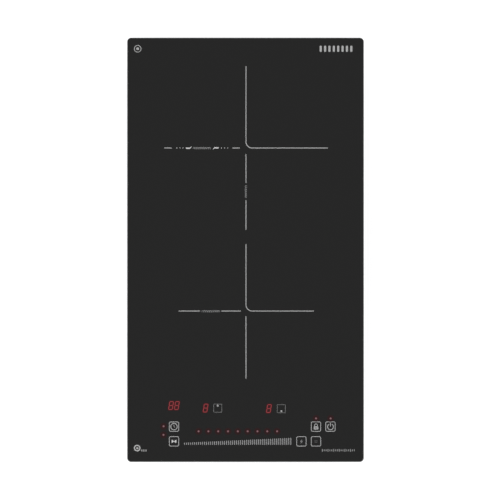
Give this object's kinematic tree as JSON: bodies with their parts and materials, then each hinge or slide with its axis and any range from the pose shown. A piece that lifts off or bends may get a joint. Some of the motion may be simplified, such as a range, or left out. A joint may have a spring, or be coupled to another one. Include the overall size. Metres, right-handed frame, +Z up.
{
  "type": "induction cooktop",
  "caption": "Narrow glass induction cooktop that drops into a worktop cut-out, with sprung coils, a blower and touch controls in a steel casing.",
  "frame": {"origin": "centre of the glass in plan, on the worktop's surface (the seal's underside)", "axes": "+Z up out of the worktop, +Y away from the user, +X to the user's right"},
  "size_m": [0.29, 0.52, 0.059],
  "materials": {
    "aluminium_extrusion": "extruded, satin",
    "aluminium_sheet": "mill finish",
    "bearing_bronze": "sintered bronze",
    "blower_plastic": "black moulded",
    "can_sleeve": "shrink sleeve",
    "ceramic_glass": "polished opaque black glass ceramic",
    "choke_copper": "enamelled wire on a ring",
    "circuit_board": "green solder resist",
    "component_black": "moulded epoxy",
    "copper_winding": "varnished stranded copper",
    "display_face": "smoked red window",
    "ferrite": "sintered, dark grey",
    "film_yellow": "epoxy-filled box",
    "foam_seal": "closed-cell foam strip, matt",
    "former_plastic": "glass-filled, black",
    "fuse_glass": "ceramic tube",
    "galvanised_steel": "galvanised sheet, satin",
    "label_foil": "blank foil plate",
    "lamp_lens": "tinted epoxy lens",
    "lead_insulation": "brown insulated wire",
    "mica": "pressed mica, slightly glittering",
    "motor_steel": "laminated core",
    "painted_steel": "zinc-coated sheet, satin",
    "ribbon_grey": "grey flat cable",
    "screw_steel": "zinc-plated",
    "sensor_silicone": "pale silicone cup",
    "silicone": "satin silicone bead",
    "spring_steel": "bright spring strip",
    "standoff_nylon": "natural nylon",
    "terminal_brass": "plated brass",
    "terminal_plastic": "flame-retardant nylon",
    "tray_plastic": "white moulded",
    "white_lead": "glass-fibre sleeved lead"
  },
  "bodies": {
    "casing": {"adhesive_bead": "silicone", "air_duct": "blower_plastic", "base_pan": "painted_steel", "blower_cover": "blower_plastic", "blower_scroll": "blower_plastic", "board_screws": "screw_steel", "board_standoffs": "standoff_nylon", "bridge_rectifier": "component_black", "cable_gland": "terminal_plastic", "coil_guide_screws": "screw_steel", "common_mode_choke": "choke_copper", "control_board": "circuit_board", "control_ribbon": "ribbon_grey", "control_tray": "tray_plastic", "electrolytic_capacitors": "can_sleeve", "fan_bearing": "bearing_bronze", "fan_motor": "motor_steel", "film_capacitors": "film_yellow", "filter_board": "circuit_board", "front_coil_leads": "white_lead", "front_coil_springs": "spring_steel", "front_mica_sheet": "mica", "glass_top": "ceramic_glass", "heatsink": "aluminium_extrusion", "indicator_lamps": "lamp_lens", "mains_fuse": "fuse_glass", "mains_leads": "lead_insulation", "pan_screws": "screw_steel", "power_board": "circuit_board", "power_transistors": "component_black", "rating_plate": "label_foil", "rear_coil_leads": "white_lead", "rear_coil_springs": "spring_steel", "rear_mica_sheet": "mica", "shield_plate": "aluminium_sheet", "supply_transformer": "component_black", "support_frame": "galvanised_steel", "terminal_block": "terminal_plastic", "terminal_cover_pins": "spring_steel", "terminal_housing": "terminal_plastic", "terminal_screws": "terminal_brass", "timer_display": "display_face", "touch_springs": "spring_steel", "worktop_seal": "foam_seal", "zone_displays": "display_face"},
    "rear_coil": {"rear_coil_former": "former_plastic", "rear_coil_winding": "copper_winding", "rear_ferrite_bars": "ferrite", "rear_coil_sensor": "sensor_silicone"},
    "front_coil": {"front_coil_former": "former_plastic", "front_coil_winding": "copper_winding", "front_ferrite_bars": "ferrite", "front_coil_sensor": "sensor_silicone"},
    "fan_rotor": {"fan_rotor": "blower_plastic", "fan_shaft": "spring_steel"},
    "terminal_cover": {"terminal_cover": "terminal_plastic"},
    "spring_clip_front_left": {"spring_clip_front_left": "spring_steel"},
    "spring_clip_front_right": {"spring_clip_front_right": "spring_steel"},
    "spring_clip_rear_left": {"spring_clip_rear_left": "spring_steel"},
    "spring_clip_rear_right": {"spring_clip_rear_right": "spring_steel"}
  },
  "joints": [
    {"name": "rear_coil_float", "type": "slide", "parent": "casing", "child": "rear_coil", "axis": [0, 0, 1], "range_m": [-0.003, 0], "stiffness_N_per_m": 9000, "springref_m": 0.004, "deforming": ["rear_coil_springs", "rear_coil_leads"]},
    {"name": "front_coil_float", "type": "slide", "parent": "casing", "child": "front_coil", "axis": [0, 0, 1], "range_m": [-0.003, 0], "stiffness_N_per_m": 9000, "springref_m": 0.004, "deforming": ["front_coil_springs", "front_coil_leads"]},
    {"name": "fan_spin", "type": "hinge", "parent": "casing", "child": "fan_rotor", "pos_m": [-0.075, 0.165, -0.038], "axis": [0, 0, 1], "continuous": true},
    {"name": "clip_flex_front_left", "type": "hinge", "parent": "casing", "child": "spring_clip_front_left", "pos_m": [-0.1326, -0.15, -0.014], "axis": [0, -1, 0], "range_deg": [0, 10], "stiffness_Nm_per_rad": 1.2, "springref_deg": -2.86},
    {"name": "clip_flex_front_right", "type": "hinge", "parent": "casing", "child": "spring_clip_front_right", "pos_m": [0.1326, -0.15, -0.014], "axis": [0, 1, 0], "range_deg": [0, 10], "stiffness_Nm_per_rad": 1.2, "springref_deg": -2.86},
    {"name": "clip_flex_rear_left", "type": "hinge", "parent": "casing", "child": "spring_clip_rear_left", "pos_m": [-0.1326, 0.15, -0.014], "axis": [0, -1, 0], "range_deg": [0, 10], "stiffness_Nm_per_rad": 1.2, "springref_deg": -2.86},
    {"name": "clip_flex_rear_right", "type": "hinge", "parent": "casing", "child": "spring_clip_rear_right", "pos_m": [0.1326, 0.15, -0.014], "axis": [0, 1, 0], "range_deg": [0, 10], "stiffness_Nm_per_rad": 1.2, "springref_deg": -2.86},
    {"name": "terminal_cover_hinge", "type": "hinge", "parent": "casing", "child": "terminal_cover", "pos_m": [0.066, 0.2012, -0.0515], "axis": [-1, 0, 0], "range_deg": [0, 100]}
  ]
}
